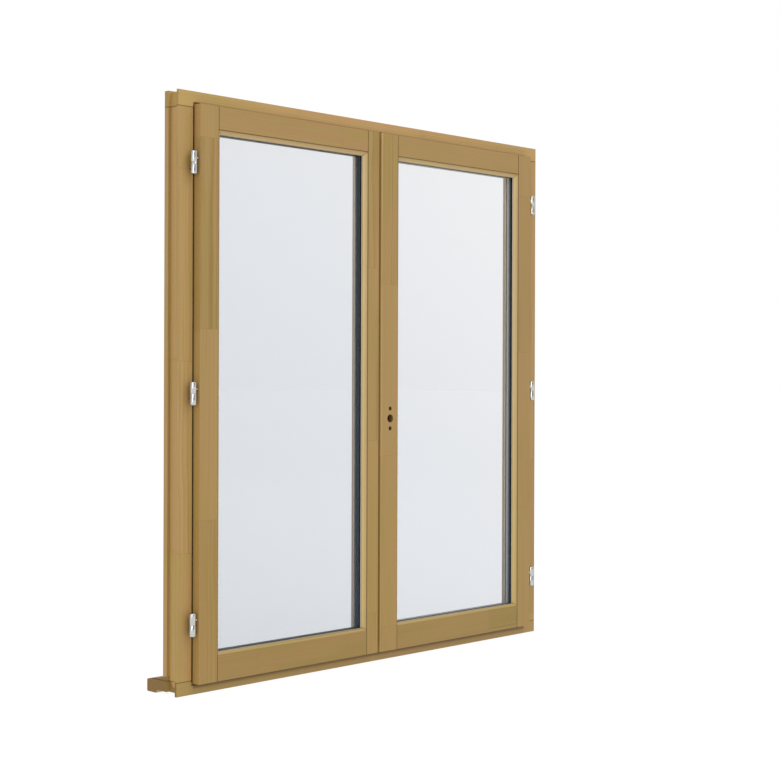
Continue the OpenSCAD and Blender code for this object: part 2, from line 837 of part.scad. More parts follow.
module lock_case() {
    y0 = slot_y0 - case_wall;
    y1 = slot_y0 + slot_w + case_wall;
    color(zinc) on_side(right) difference() {
        union() {
            difference() {
                box(case_x0, plate_back, y0, y1, case_z0, case_z1);
                box(case_x0 + case_wall, plate_back + over, slot_y0, slot_y0 + slot_w,
                    case_z0 + case_wall, case_z1 - case_wall);
                box(rod_x0 - slide_gap, plate_back + over, slot_y0, slot_y0 + slot_w,
                    case_z0 - over, case_z1 + over);
            }
            for (i = [-1, 1]) translate([spindle_x, y1, handle_z + i * screw_pitch / 2])
                rotate([90, 0, 0]) cylinder(h = y1 - y0, r = 3.5);
        }
        for (i = [-1, 1]) translate([spindle_x, y1 + over, handle_z + i * screw_pitch / 2])
            rotate([90, 0, 0]) cylinder(h = y1 - y0 + 2 * over, r = 2.1);
        translate([spindle_x, y1 + over, handle_z]) rotate([90, 0, 0])
            cylinder(h = y1 - y0 + 2 * over, r = hub_r + pin_clear);
    }
}

module lock_faceplate() {
    color(zinc) on_side(right) difference() {
        box(plate_back, right_edge - relief, lock_y - plate_w / 2, lock_y + plate_w / 2,
            body_z0, body_z1);
        for (z = concat(low_screws, high_screws)) plate_screw_at(z);
    }
}

module faceplate_screws() {
    color(steel) on_side(right) for (z = concat(low_screws, high_screws)) plate_screw_at(z);
}

// A tooth that points along +X from the pitch line, as thick as half a pitch less backlash.
module tooth(out, deep) {
    t = pitch / 4 - backlash / 4;
    lean = tan(20);
    polygon([
        [-deep, -t - deep * lean], [out, -t + out * lean],
        [out, t - out * lean], [-deep, t + deep * lean]
    ]);
}

module spindle_pinion() {
    y0 = slot_y0 + slide_gap;
    y1 = y0 + rod_w;
    color(steel) on_side(right) translate([spindle_x, 0, handle_z]) difference() {
        union() {
            slab(y0, y1) union() {
                circle(gear_r - rack_root);
                for (i = [0 : teeth - 1]) rotate(i * 360 / teeth)
                    translate([gear_r, 0]) tooth(rack_tip, rack_root + 0.3);
            }
            slab(slot_y0 - case_wall, slot_y0 + slot_w + case_wall) circle(hub_r);
        }
        slab(y0 - 10, y1 + 10) square(spindle_sq, center = true);
    }
}

// A rack facing the pinion; dir is 1 where the rack lies beyond it and -1 before it.
module rack(dir, low, high) {
    y0 = lock_y - rod_w / 2;
    line = spindle_x + dir * gear_r;
    slab(y0, y0 + rod_w) for (i = [low : high])
        translate([line, handle_z + (i + 0.5) * pitch]) rotate(dir > 0 ? 180 : 0)
            tooth(rack_tip, rack_root + 0.3);
}

module rod_slots(heights, dir) {
    for (z = heights)
        box(rod_x0 - over, rod_x1 + over, lock_y - rod_slot_w / 2, lock_y + rod_slot_w / 2,
            z - small_r - 0.6 - (dir > 0 ? rod_travel : 0),
            z + small_r + 0.6 + (dir > 0 ? 0 : rod_travel));
}

module upper_lock_rod() {
    y0 = lock_y - rod_w / 2;
    z0 = handle_z - 6 * pitch;
    root_x = spindle_x + gear_r + rack_root;
    color(steel) on_side(right) difference() {
        union() {
            box(rod_x0, rod_x1, y0, y0 + rod_w, z0, body_z1 - rod_end);
            box(root_x, rod_x0 + over, y0, y0 + rod_w, z0, handle_z + 3 * pitch);
            rack(1, -6, 2);
        }
        rod_slots(high_screws, 1);
    }
}

module lower_lock_rod() {
    y0 = lock_y - rod_w / 2;
    z_jog = handle_z - screw_pitch / 2 - 14.5;
    root_x = spindle_x - gear_r - rack_root;
    color(steel) on_side(right) difference() {
        union() {
            box(rod_x0, rod_x1, y0, y0 + rod_w, body_z0 + rod_end, z_jog + jog_h);
            box(root_x - rack_body, rod_x0 + over, y0, y0 + rod_w, z_jog, z_jog + jog_h);
            box(root_x - rack_body, root_x, y0, y0 + rod_w, z_jog, handle_z + 6 * pitch);
            rack(-1, -3, 5);
        }
        rod_slots(low_screws, -1);
    }
}

head();
jamb(left);  // left_jamb
jamb(right);  // right_jamb
sill();
frame_weather_seal();
keeper(frame_h - head_rebate, 1);  // head_keeper
keeper(sill_rebate, -1);  // sill_keeper
keeper_screws();
hinge_frame_half(left, hinge_top);  // left_top_hinge_frame_half
hinge_frame_half(left, hinge_middle);  // left_middle_hinge_frame_half
hinge_frame_half(left, hinge_bottom);  // left_bottom_hinge_frame_half
hinge_frame_half(right, hinge_top);  // right_top_hinge_frame_half
hinge_frame_half(right, hinge_middle);  // right_middle_hinge_frame_half
hinge_frame_half(right, hinge_bottom);  // right_bottom_hinge_frame_half
hinge_pins(left);  // left_hinge_pins
hinge_pins(right);  // right_hinge_pins
hinge_stile(left);  // left_hinge_stile
meeting_stile(left);  // left_meeting_stile
rail(left, true);  // left_top_rail
rail(left, false);  // left_bottom_rail
pane(left, pane_y);  // left_inner_glass
pane(left, outer_pane_y);  // left_outer_glass
spacer_bar(left);  // left_spacer_bar
edge_seal(left);  // left_edge_seal
glazing_seals(left);  // left_glazing_seals
glazing_beads(left);  // left_glazing_beads
setting_blocks(left);  // left_setting_blocks
drip_bar(left);  // left_drip_bar
hinge_leaf_half(left, hinge_top);  // left_top_hinge_leaf_half
hinge_leaf_half(left, hinge_middle);  // left_middle_hinge_leaf_half
hinge_leaf_half(left, hinge_bottom);  // left_bottom_hinge_leaf_half
meeting_seal();
bolt_cases();
bolt(body_z1, -1);  // top_bolt
bolt(body_z0, 1);  // bottom_bolt
hinge_stile(right);  // right_hinge_stile
meeting_stile(right);  // right_meeting_stile
rail(right, true);  // right_top_rail
rail(right, false);  // right_bottom_rail
pane(right, pane_y);  // right_inner_glass
pane(right, outer_pane_y);  // right_outer_glass
spacer_bar(right);  // right_spacer_bar
edge_seal(right);  // right_edge_seal
glazing_seals(right);  // right_glazing_seals
glazing_beads(right);  // right_glazing_beads
setting_blocks(right);  // right_setting_blocks
drip_bar(right);  // right_drip_bar
hinge_leaf_half(right, hinge_top);  // right_top_hinge_leaf_half
hinge_leaf_half(right, hinge_middle);  // right_middle_hinge_leaf_half
hinge_leaf_half(right, hinge_bottom);  // right_bottom_hinge_leaf_half
lock_case();
lock_faceplate();
faceplate_screws();
spindle_pinion();
upper_lock_rod();
lower_lock_rod();
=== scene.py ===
"""Finishes, seals, screws and studio for a timber casement window with two glazed leaves."""

import math

import bmesh
import bpy
from mathutils import Matrix, Vector


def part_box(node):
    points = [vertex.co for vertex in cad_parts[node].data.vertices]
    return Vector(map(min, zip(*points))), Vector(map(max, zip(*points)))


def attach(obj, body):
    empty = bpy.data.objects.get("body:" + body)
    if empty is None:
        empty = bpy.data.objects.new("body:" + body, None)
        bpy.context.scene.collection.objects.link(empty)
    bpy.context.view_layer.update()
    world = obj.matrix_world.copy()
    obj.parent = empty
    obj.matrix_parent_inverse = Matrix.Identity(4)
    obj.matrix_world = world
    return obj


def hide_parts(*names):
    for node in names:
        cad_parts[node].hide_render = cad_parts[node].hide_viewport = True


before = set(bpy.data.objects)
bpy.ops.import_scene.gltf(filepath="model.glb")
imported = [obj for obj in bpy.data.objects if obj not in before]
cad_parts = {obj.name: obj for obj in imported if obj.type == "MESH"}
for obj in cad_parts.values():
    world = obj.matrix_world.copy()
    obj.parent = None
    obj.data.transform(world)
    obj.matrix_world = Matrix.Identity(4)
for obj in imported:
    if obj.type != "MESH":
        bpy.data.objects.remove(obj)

bl_info = {
    "name": "Casement Window",
    "version": (1, 0, 0),
    "blender": (4, 5, 0),
    "location": "View3D > Sidebar > Casement",
    "description": "Timber, glass, metal and rubber finishes for a two-leaf casement window",
    "category": "Object",
}

MM = 0.001
SIDES = ("left", "right")
HEIGHTS = ("top", "middle", "bottom")
FIXED = ("head", "left_jamb", "right_jamb", "sill")

# Where the members meet; on the stiles the hinge and lock lines are also painted shadow lines along
# the inner arrises, and the top line is a painted shadow line along the top rail's chamfer arris.
SILL_SEAM = 27 * MM
HEAD_SEAM = 1134 * MM
HINGE_SEAM = 456.5 * MM
LOCK_SEAM = 46.5 * MM
TOP_SHADE_LINE = 1094.5 * MM

# Depths, from the room to the weather side.
LEAF_FACE = -54.5 * MM
CHAMFER_FOOT = -46.5 * MM
FRAME_FACE = -36.5 * MM
BORE_END = -20 * MM

# The wall groove's floor and the frame's outer sides, from the middle.
GROOVE_FLOOR = 537 * MM
OUTER_SIDE = 539.5 * MM

# Holes for the handle in the right meeting stile: x, z and radius.
BORES = (
    (23 * MM, 524 * MM, 8.2 * MM),
    (23 * MM, 545.5 * MM, 4 * MM),
    (23 * MM, 502.5 * MM, 4 * MM),
)


# ---- settings ----


class TimberSettings(bpy.types.PropertyGroup):
    """Stained, finger-jointed softwood."""

    pale: bpy.props.FloatVectorProperty(
        name="Pale wood", description="Stained early wood", subtype="COLOR",
        default=(0.335, 0.218, 0.080), min=0, max=1)
    deep: bpy.props.FloatVectorProperty(
        name="Deep wood", description="Stained late wood, the dark part of each ring",
        subtype="COLOR", default=(0.175, 0.095, 0.022), min=0, max=1)
    rosy: bpy.props.FloatVectorProperty(
        name="Rosy wood", description="Tone of the redder lengths", subtype="COLOR",
        default=(0.325, 0.190, 0.078), min=0, max=1)
    olive: bpy.props.FloatVectorProperty(
        name="Olive wood", description="Tone of the greener lengths", subtype="COLOR",
        default=(0.312, 0.211, 0.068), min=0, max=1)
    end: bpy.props.FloatVectorProperty(
        name="End grain", description="Stain soaked into cut ends", subtype="COLOR",
        default=(0.150, 0.083, 0.025), min=0, max=1)
    # This dark colour marks real joints and also paints shade: shadow lines along arrises, shade in
    # bores and recesses, and shadows past the leaves.
    seam: bpy.props.FloatVectorProperty(
        name="Seam", description="Dark line where two members meet", subtype="COLOR",
        default=(0.055, 0.024, 0.005), min=0, max=1)
    # This pale colour is partly worn stain and partly a painted highlight on arrises and chamfers.
    worn_and_highlight: bpy.props.FloatVectorProperty(
        name="Worn edge", description="Paler wood where the stain is thin on an edge",
        subtype="COLOR", default=(0.62, 0.47, 0.25), min=0, max=1)
    ring: bpy.props.FloatProperty(
        name="Ring width", description="Width of one growth ring", subtype="DISTANCE",
        default=0.0031, min=0.001, max=0.01)
    length: bpy.props.FloatProperty(
        name="Length of a piece", description="Length between finger joints",
        subtype="DISTANCE", default=0.37, min=0.1, max=1)
    finger: bpy.props.FloatProperty(
        name="Finger length", description="Depth of the finger joints",
        subtype="DISTANCE", default=0.009, min=0.003, max=0.02)
    arris: bpy.props.FloatProperty(
        name="Arris radius", description="Sanded rounding of the timber's edges",
        subtype="DISTANCE", default=0.0011, min=0.0002, max=0.003)
    sheen: bpy.props.FloatProperty(
        name="Roughness", description="Roughness of the satin stain",
        default=0.46, min=0.1, max=1)


class MetalSettings(bpy.types.PropertyGroup):
    """Zinc-plated fittings and plain steel."""

    zinc: bpy.props.FloatVectorProperty(
        name="Zinc", description="Bright zinc plate", subtype="COLOR",
        default=(0.54, 0.55, 0.56), min=0, max=1)
    zinc_warm: bpy.props.FloatVectorProperty(
        name="Passivated zinc", description="Warm tint in the plate", subtype="COLOR",
        default=(0.56, 0.52, 0.42), min=0, max=1)
    steel: bpy.props.FloatVectorProperty(
        name="Steel", description="Drawn steel of rods and bolts", subtype="COLOR",
        default=(0.50, 0.51, 0.53), min=0, max=1)
    spacer: bpy.props.FloatVectorProperty(
        name="Spacer bar", description="Dark spacer between the panes", subtype="COLOR",
        default=(0.024, 0.018, 0.006), min=0, max=1)
    # Painted light: the right leaf's spacer is made paler on its weather side.
    spacer_lit: bpy.props.FloatVectorProperty(
        name="Pale spacer", description="Lighter side of the right leaf's spacer bar",
        subtype="COLOR", default=(0.42, 0.45, 0.43), min=0, max=1)
    edge: bpy.props.FloatProperty(
        name="Edge radius", description="Broken edge on metal parts", subtype="DISTANCE",
        default=0.0003, min=0.0001, max=0.001)


class GlassSettings(bpy.types.PropertyGroup):
    """The panes."""

    tint: bpy.props.FloatVectorProperty(
        name="Tint", description="Tone that a pane lays over what lies behind",
        subtype="COLOR", default=(0.06, 0.13, 0.24), min=0, max=1)
    edge: bpy.props.FloatVectorProperty(
        name="Cut edge", description="Green of a pane's edge", subtype="COLOR",
        default=(0.03, 0.09, 0.06), min=0, max=1)
    left: bpy.props.FloatProperty(
        name="Left panes", description="Share of the light that a left pane stops",
        default=0.066, min=0, max=1)
    right: bpy.props.FloatProperty(
        name="Right panes", description="Share of the light that a right pane stops",
        default=0.043, min=0, max=1)
    # Painted shade on the panes, darker towards the foot.
    foot: bpy.props.FloatProperty(
        name="Foot", description="How much more a pane stops at its foot than at its top",
        default=0.045, min=0, max=0.5)
    # Painted sheen on the panes, lighter towards the right of each.
    sheen_across: bpy.props.FloatProperty(
        name="Slant", description="How much less a pane stops for each metre to the right",
        default=0.025, min=0, max=0.1)


class SealSettings(bpy.types.PropertyGroup):
    """Rubber seals and plastic blocks."""

    rubber: bpy.props.FloatVectorProperty(
        name="Rubber", description="Black seal rubber", subtype="COLOR",
        default=(0.020, 0.019, 0.018), min=0, max=1)
    bloom: bpy.props.FloatVectorProperty(
        name="Bloom", description="Grey bloom on the rubber", subtype="COLOR",
        default=(0.052, 0.050, 0.047), min=0, max=1)
    sealant: bpy.props.FloatVectorProperty(
        name="Sealant", description="Pale silicone against the glass", subtype="COLOR",
        default=(0.62, 0.56, 0.42), min=0, max=1)
    block: bpy.props.FloatVectorProperty(
        name="Blocks", description="Setting blocks under the glass", subtype="COLOR",
        default=(0.045, 0.052, 0.070), min=0, max=1)


class StageSettings(bpy.types.PropertyGroup):
    """Floor, lights and camera."""

    floor: bpy.props.FloatVectorProperty(
        name="Floor", description="Pale studio floor", subtype="COLOR",
        default=(0.12, 0.12, 0.12), min=0, max=1)
    glow: bpy.props.FloatProperty(
        name="Glow", description="Light of the white floor panel itself",
        default=0.92, min=0, max=1)
    sky: bpy.props.FloatProperty(
        name="Surround", description="Strength of the light from the surround",
        default=0.80, min=0, max=4)
    key: bpy.props.FloatProperty(
        name="Key light", description="Power of the large light on the left", subtype="POWER",
        default=70.0, min=0, max=1000)
    top: bpy.props.FloatProperty(
        name="Top light", description="Power of the large light above", subtype="POWER",
        default=90.0, min=0, max=1000)
    card: bpy.props.FloatVectorProperty(
        name="Dark card", description="Direction of the dark card that metal mirrors",
        subtype="DIRECTION", default=(-0.19, -0.98, 0.0))
    eye: bpy.props.FloatVectorProperty(
        name="Camera", description="Where the camera stands", subtype="TRANSLATION",
        default=(-2.3682, -2.3805, 0.6213))
    turn: bpy.props.FloatProperty(
        name="Turn", description="Camera's turn from straight ahead", subtype="ANGLE",
        default=math.radians(45.78))
    roll: bpy.props.FloatProperty(
        name="Roll", description="Camera's tilt to one side", subtype="ANGLE",
        default=math.radians(0.191))
    lens: bpy.props.FloatProperty(
        name="Lens", description="Focal length in millimetres", default=71.02, min=10)
    drop: bpy.props.FloatProperty(
        name="Shift", description="Vertical lens shift", default=-0.0211)


class WindowSettings(bpy.types.PropertyGroup):
    """All settings of the window."""

    timber: bpy.props.PointerProperty(type=TimberSettings)
    metal: bpy.props.PointerProperty(type=MetalSettings)
    glass: bpy.props.PointerProperty(type=GlassSettings)
    seal: bpy.props.PointerProperty(type=SealSettings)
    stage: bpy.props.PointerProperty(type=StageSettings)


# ---- shader maths ----


class Wire:
    """One output socket of a material. Python's operators on it add Math nodes."""

    def __init__(self, bench, socket):
        self.bench = bench
        self.socket = socket

    def maths(self, operation, a, b=0.0, c=0.0):
        return self.bench.node(
            "ShaderNodeMath", {"operation": operation}, {0: a, 1: b, 2: c})

    def __add__(self, other):
        return self.maths("ADD", self, other)

    def __radd__(self, other):
        return self.maths("ADD", other, self)

    def __sub__(self, other):
        return self.maths("SUBTRACT", self, other)

    def __rsub__(self, other):
        return self.maths("SUBTRACT", other, self)

    def __mul__(self, other):
        return self.maths("MULTIPLY", self, other)

    def __rmul__(self, other):
        return self.maths("MULTIPLY", other, self)

    def __truediv__(self, other):
        return self.maths("DIVIDE", self, other)

    def __rtruediv__(self, other):
        return self.maths("DIVIDE", other, self)

    def __pow__(self, other):
        return self.maths("POWER", self, other)

    def __abs__(self):
        return self.maths("ABSOLUTE", self)

    def fract(self):
        return self.maths("FRACT", self)

    def floor(self):
        return self.maths("FLOOR", self)

    def root(self):
        return self.maths("SQRT", self)

    def most(self, other):
        return self.maths("MAXIMUM", self, other)

    def __lt__(self, other):
        return self.maths("LESS_THAN", self, other)

    def over(self, limit):
        return self.maths("GREATER_THAN", self, limit)

    def rise(self, low, high, start=0.0, stop=1.0):
        """A smooth rise from start to stop as the value goes from low to high."""
        return self.bench.node(
            "ShaderNodeMapRange", {"interpolation_type": "SMOOTHSTEP"},
            {0: self, 1: low, 2: high, 3: start, 4: stop})


class Bench:
    """A new material, or a new world, and the tools to wire it."""

    def __init__(self, name, kind="materials"):
        self.block = getattr(bpy.data, kind).new(name)
        self.block.use_nodes = True
        self.tree = self.block.node_tree
        self.tree.nodes.clear()

    def node(self, kind, settings=None, values=None, out=0):
        """Adds a node, sets it up, feeds its sockets and returns one of its outputs."""
        made = self.tree.nodes.new(kind)
        for key, value in (settings or {}).items():
            setattr(made, key, value)
        for key, value in (values or {}).items():
            if isinstance(value, Wire):
                self.tree.links.new(value.socket, made.inputs[key])
            else:
                made.inputs[key].default_value = value
        return Wire(self, made.outputs[out]) if made.outputs else None

    def place(self):
        """The point on the surface in the window's own frame, in metres."""
        return self.node("ShaderNodeTexCoord", out="Object")

    def normal(self):
        return self.node("ShaderNodeTexCoord", out="Normal")

    def facing(self, axis):
        """How squarely the surface faces along an axis, 0 to 1."""
        return abs(self.split(self.normal())[axis])

    def split(self, vector):
        made = self.node("ShaderNodeSeparateXYZ", values={0: vector})
        outputs = made.socket.node.outputs
        return [Wire(self, outputs[i]) for i in range(3)]

    def join(self, x, y, z):
        return self.node("ShaderNodeCombineXYZ", values={0: x, 1: y, 2: z})

    def blend(self, a, b, share):
        """Colour a turned into colour b by share."""
        values = {0: share, 6: opaque(a), 7: opaque(b)}
        return self.node("ShaderNodeMix", {"data_type": "RGBA"}, values, out=2)

    def noise(self, vector, scale, detail=2.0, rough=0.5, bend=0.0):
        return self.node(
            "ShaderNodeTexNoise", {"noise_dimensions": "3D"},
            {"Vector": vector, "Scale": scale, "Detail": detail, "Roughness": rough,
             "Distortion": bend})

    def dice(self, value):
        """Three random numbers, 0 to 1, for a whole number."""
        made = self.node(
            "ShaderNodeTexWhiteNoise", {"noise_dimensions": "1D"}, {"W": value}, out="Color")
        return self.split(made)

    def relief(self, height, depth, strength=1.0):
        return self.node(
            "ShaderNodeBump", values={"Height": height, "Distance": depth,
                                      "Strength": strength})

    def shader(self, **sockets):
        """A Principled shader on the output; each socket takes a value or a wire."""
        names = {key: key.replace("_", " ") for key in sockets}
        surface = self.node(
            "ShaderNodeBsdfPrincipled",
            values={names[key]: opaque(value) for key, value in sockets.items()})
        self.node("ShaderNodeOutputMaterial", values={"Surface": surface})
        return self.block


def opaque(value):
    """A colour property as four numbers; anything else as it is."""
    if isinstance(value, (Wire, float, int, str)):
        return value
    return (*value, 1.0) if len(value) == 3 else tuple(value)


def settings():
    return bpy.context.scene.casement


# ---- materials ----


def timber(name, run, centre, seed, end_stain=0.9, lift=1.0, joint_and_shade_lines=(), bores=(), recess_shade=0.0,
           amber=0.0, side_light=(1.0, 1.0), leaves=None):
    """Softwood with its grain along axis run, around a member centred on centre.

    Joint and shade lines are (axis, place) pairs that show dark: real joints where another member
    butts, and painted shadow lines along the inner arrises of the stiles and the top rail.
    Bores are (x, z, radius) of holes drilled from the room side, with painted shade inside them.
    Recess shade is how much painted shade darkens the wood in the recess between a leaf and the
    frame's face.
    Amber is how much yellower the stain is towards the foot.
    Side light is painted light: it brightens faces turned sideways, inside and outside the wall
    groove.
    Leaves is how far they reach sideways, down and up; a painted shadow darkens the frame right past
    them.
    """
    look = settings().timber
    bench = Bench(name)
    parts = bench.split(bench.place())
    across = [i for i in range(3) if i != run]
    along = parts[run]
    a = parts[across[0]] - centre[across[0]]
    b = parts[across[1]] - centre[across[1]]

    # Lengths between finger joints, each cut from another board.
    fingers = abs((b / 0.0042).fract() - 0.5) * (2 * look.finger / look.length)
    count = along / look.length + (seed * 0.618 + 40.0) + fingers
    board = count.floor()
    joint = (abs(count.fract() - 0.5) * 2).rise(1 - 0.0014 / look.length, 1.0)
    pick = bench.dice(board + seed * 31.0)
    pick_more = bench.dice(board * 1.7 + (seed * 11.0 + 5.0))

    # Growth rings around a pith outside the board, wandering slowly along it.
    slow = bench.join(along * 1.6, a * 9.0, b * 9.0 + seed * 3.1)
    wander = bench.noise(slow, 1.0, 2.0) - 0.5
    out_a = a + (pick[0] - 0.5) * 0.13 + wander * 0.03
    out_b = b + pick[1] * 0.06 + 0.045
    radius = (out_a * out_a + out_b * out_b).root()
    ripple = bench.noise(bench.join(along * 7.0, a * 60.0, b * 60.0 + pick[2] * 9.0), 1.0, 3.0)
    spacing = bench.noise(bench.join(radius * 55.0, pick[0] * 9.0, 0.0), 1.0, 1.0)
    turn = (radius / look.ring + ripple * 0.7 + spacing * 4.0).fract()
    late = turn.rise(0.30, 0.90) * turn.rise(0.93, 1.0, 1.0, 0.0)

    # Fibres, broad bands of stain and small resin streaks.
    fibre = bench.noise(bench.join(along * 16.0, a * 1500.0, b * 1500.0), 1.0, 3.0, 0.6)
    band = bench.noise(bench.join(along * 1.1 + pick[1] * 7.0, a * 130.0, b * 130.0), 1.0, 3.0, 0.65)
    cloud = bench.noise(bench.join(along * 3.0, a * 14.0, b * 14.0 + pick[0] * 5.0), 1.0, 3.0)
    streak = bench.noise(bench.join(along * 55.0, a * 1300.0, b * 1300.0 + seed), 1.0, 1.0)
    streak = streak.rise(0.70, 0.80)

    normal = [abs(part) for part in bench.split(bench.normal())]
    ends = normal[run].rise(0.70, 0.90)
    squarest = normal[0].most(normal[1]).most(normal[2])
    # Pale edges: partly worn stain, partly a painted highlight on arrises and chamfers.
    worn_and_highlight = squarest.rise(0.72, 0.93, 1.0, 0.0)
    # Dark lines: real joints where members butt, painted shadow lines along the stiles' and top
    # rail's inner arrises, and painted shade inside the handle bores.
    seam = 0.0
    for axis, place in joint_and_shade_lines:
        seam = abs(parts[axis] - place).rise(0.4 * MM, 1.3 * MM, 1.0, 0.0).most(seam)
    # Painted shade inside the handle bores.
    for x, z, hole in bores:
        aside = parts[0] - x
        above = parts[2] - z
        from_hole = (aside * aside + above * above).root()
        rim = from_hole.rise(hole + 0.6 * MM, hole + 1.1 * MM, 1.0, 0.0)
        seam = (rim * (parts[1] < BORE_END)).most(seam)

    # Painted shade in the recess where the rebate meets the frame's face.
    behind = parts[1] - FRAME_FACE
    recess = behind.rise(-0.7 * MM, 0.7 * MM) * behind.rise(7.5 * MM, 9.5 * MM, 1.0, 0.0)
    recess = recess * (1 - normal[1].over(0.5) * (behind < 3 * MM))

    pale = [c * lift for c in look.pale]
    body = bench.blend(pale, [c * lift for c in look.rosy], band.rise(0.42, 0.66))
    body = bench.blend(body, [c * lift for c in look.olive], cloud.rise(0.45, 0.70))
    shade = late * (0.16 + pick_more[1] * 0.20) + (fibre - 0.5) * 0.44 + (cloud - 0.5) * 0.42
    shade = shade + pick_more[2] * 0.16 - 0.07 + (0.5 - band) * 0.72 + streak * 0.26
    colour = bench.blend(body, look.deep, shade.rise(-0.10, 1.10))
    colour = bench.blend(colour, look.deep, joint * 0.45)
    # Chamfers nearer the leaf face get more of the painted highlight.
    depth = parts[1].rise(LEAF_FACE, CHAMFER_FOOT)
    worn_and_highlight = worn_and_highlight * (1 - seam) * (0.10 + cloud * 0.3 + depth * 0.34)
    colour = bench.blend(colour, look.worn_and_highlight, worn_and_highlight)
    dark_end = bench.blend(look.end, look.deep, late * 0.35 + cloud * 0.4)
    colour = bench.blend(colour, dark_end, ends * end_stain)
    colour = bench.blend(colour, look.seam, seam * 0.75)
    colour = bench.blend(colour, look.seam, recess * recess_shade)
    if leaves:
        # Painted shadow on the sill under the leaves' foot and on the head above their top.
        reach, foot, top = leaves
        under = parts[2].rise(foot - 14 * MM, foot - 3.5 * MM) * (parts[2] < foot + MM)
        over = parts[2].rise(top + 3 * MM, top + 7 * MM, 0.65, 0.0) * parts[2].over(top - MM)
        leaf_shadow = under.most(over) * (behind < MM) * (abs(parts[0]) < reach)
        colour = bench.blend(colour, look.seam, leaf_shadow * 0.72)
    yellow = parts[2].rise(0.05, 0.75, 1 - amber, 1 - amber * 0.35)
    # Painted light: faces turned sideways are brightened, inside and outside the wall groove.
    lit = abs(parts[0]).rise(GROOVE_FLOOR, OUTER_SIDE, *side_light)
    side = normal[0].rise(0.70, 0.90) * (lit - 1) + 1
    colour = bench.node(
        "ShaderNodeVectorMath", {"operation": "MULTIPLY"},
        {0: colour, 1: bench.join(side, side, side * yellow)})

    height = fibre * 0.55 + late * 0.30 - joint * 0.9 - streak * 0.3
    return bench.shader(
        Base_Color=colour,
        Roughness=look.sheen + (fibre - 0.5) * 0.16 + ends * 0.22 - late * 0.05,
        Normal=bench.relief(height, 0.00022, 0.55),
        Specular_IOR_Level=0.30,
    )


def zinc_plate(name):
    """Bright zinc on turned steel, with a faint warm cast in places."""
    look = settings().metal
    bench = Bench(name)
    point = bench.place()
    x, y, z = bench.split(point)
    cast = bench.noise(point, 120.0, 3.0)
    lines = bench.noise(bench.join(x * 40.0, y * 40.0, z * 4200.0), 1.0, 2.0)
    spots = bench.noise(point, 900.0, 2.0).rise(0.62, 0.74)
    colour = bench.blend(look.zinc, look.zinc_warm, cast.rise(0.42, 0.70) * 0.7)
    colour = bench.blend(colour, (0.50, 0.50, 0.51, 1.0), spots * 0.35)
    return bench.shader(
        Base_Color=colour,
        Metallic=1.0,
        Roughness=0.14 + cast * 0.12 + spots * 0.2,
        Normal=bench.relief(lines + spots * 0.4, 0.00003, 0.5),
    )


def drawn_steel(name, run):
    """Drawn steel with scratches along axis run and slight darkening."""
    look = settings().metal
    bench = Bench(name)
    point = bench.place()
    parts = bench.split(point)
    scaled = [parts[i] * (25.0 if i == run else 3600.0) for i in range(3)]
    lines = bench.noise(bench.join(*scaled), 1.0, 3.0, 0.6)
    cloud = bench.noise(point, 60.0, 3.0)
    colour = bench.blend(look.steel, (0.30, 0.30, 0.31, 1.0), cloud.rise(0.40, 0.75) * 0.55)
    return bench.shader(
        Base_Color=colour,
        Metallic=1.0,
        Roughness=0.26 + lines * 0.18 + cloud * 0.12,
        Normal=bench.relief(lines, 0.00004, 0.6),
    )


def spacer_metal(name, pitch, lit_share):
    """Spacer bar with two rows of small breather holes drawn as painted shade; the lit share is
    painted light on its weather side.
    """
    look = settings().metal
    bench = Bench(name)
    x, y, z = bench.split(bench.place())
    lo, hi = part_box("left_spacer_bar")
    middle = (lo.y + hi.y) / 2
    upright = bench.facing(0).over(0.5)
    run = z * upright + x * (1 - upright)
    step = abs((run / pitch).fract() - 0.5) * pitch
    aside = abs(abs(y - middle) - 0.0018)
    # The breather holes are drawn as dark dots: painted shade inside them.
    hole = 1 - (step * step + aside * aside).root().rise(0.00035, 0.0006)
    grain = bench.noise(bench.join(run * 60.0, y * 3000.0, 0.0), 1.0, 2.0)
    edge = abs(y - middle).rise(0.0042, 0.0050)
    outer = y.rise(lo.y + 0.001, hi.y)
    # Painted light on the weather side.
    colour = bench.blend(look.spacer, look.spacer_lit, outer * lit_share)
    colour = bench.blend(colour, (0.004, 0.004, 0.004, 1.0), hole * 0.8 + edge * 0.3)
    return bench.shader(
        Base_Color=colour,
        Metallic=0.1,
        Roughness=0.40 + grain * 0.16 + hole * 0.3,
        Normal=bench.relief(grain * 0.2 - hole - edge * 0.8, 0.0002, 0.6),
        Specular_IOR_Level=0.2,
    )


def pane_glass(name, body):
    """Float glass: nearly clear, with green cut edges, a trace of dust, painted shade towards its
    foot and a painted sheen across each pane.
    """
    look = settings().glass
    bench = Bench(name)
    point = bench.place()
    lo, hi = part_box("left_inner_glass")
    x, _, z = bench.split(point)
    # Painted shade: each pane is made more opaque towards its foot; painted sheen: clearer towards
    # its right.
    shade_to_foot = ((hi.z - z) / (hi.z - lo.z)).most(0.0) ** 1.3 * look.foot
    aside = x - (x.over(0.0) - 0.5) * 0.58
    cut = 1 - bench.facing(1).over(0.5)
    dust = bench.noise(point, 30.0, 4.0).rise(0.45, 0.80)
    return bench.shader(
        Base_Color=bench.blend(look.tint, look.edge, cut),
        Roughness=0.02 + dust * 0.03 + cut * 0.3,
        Alpha=shade_to_foot - aside * look.sheen_across + dust * 0.004 + cut * 0.6 + body,
        IOR=1.52,
    )


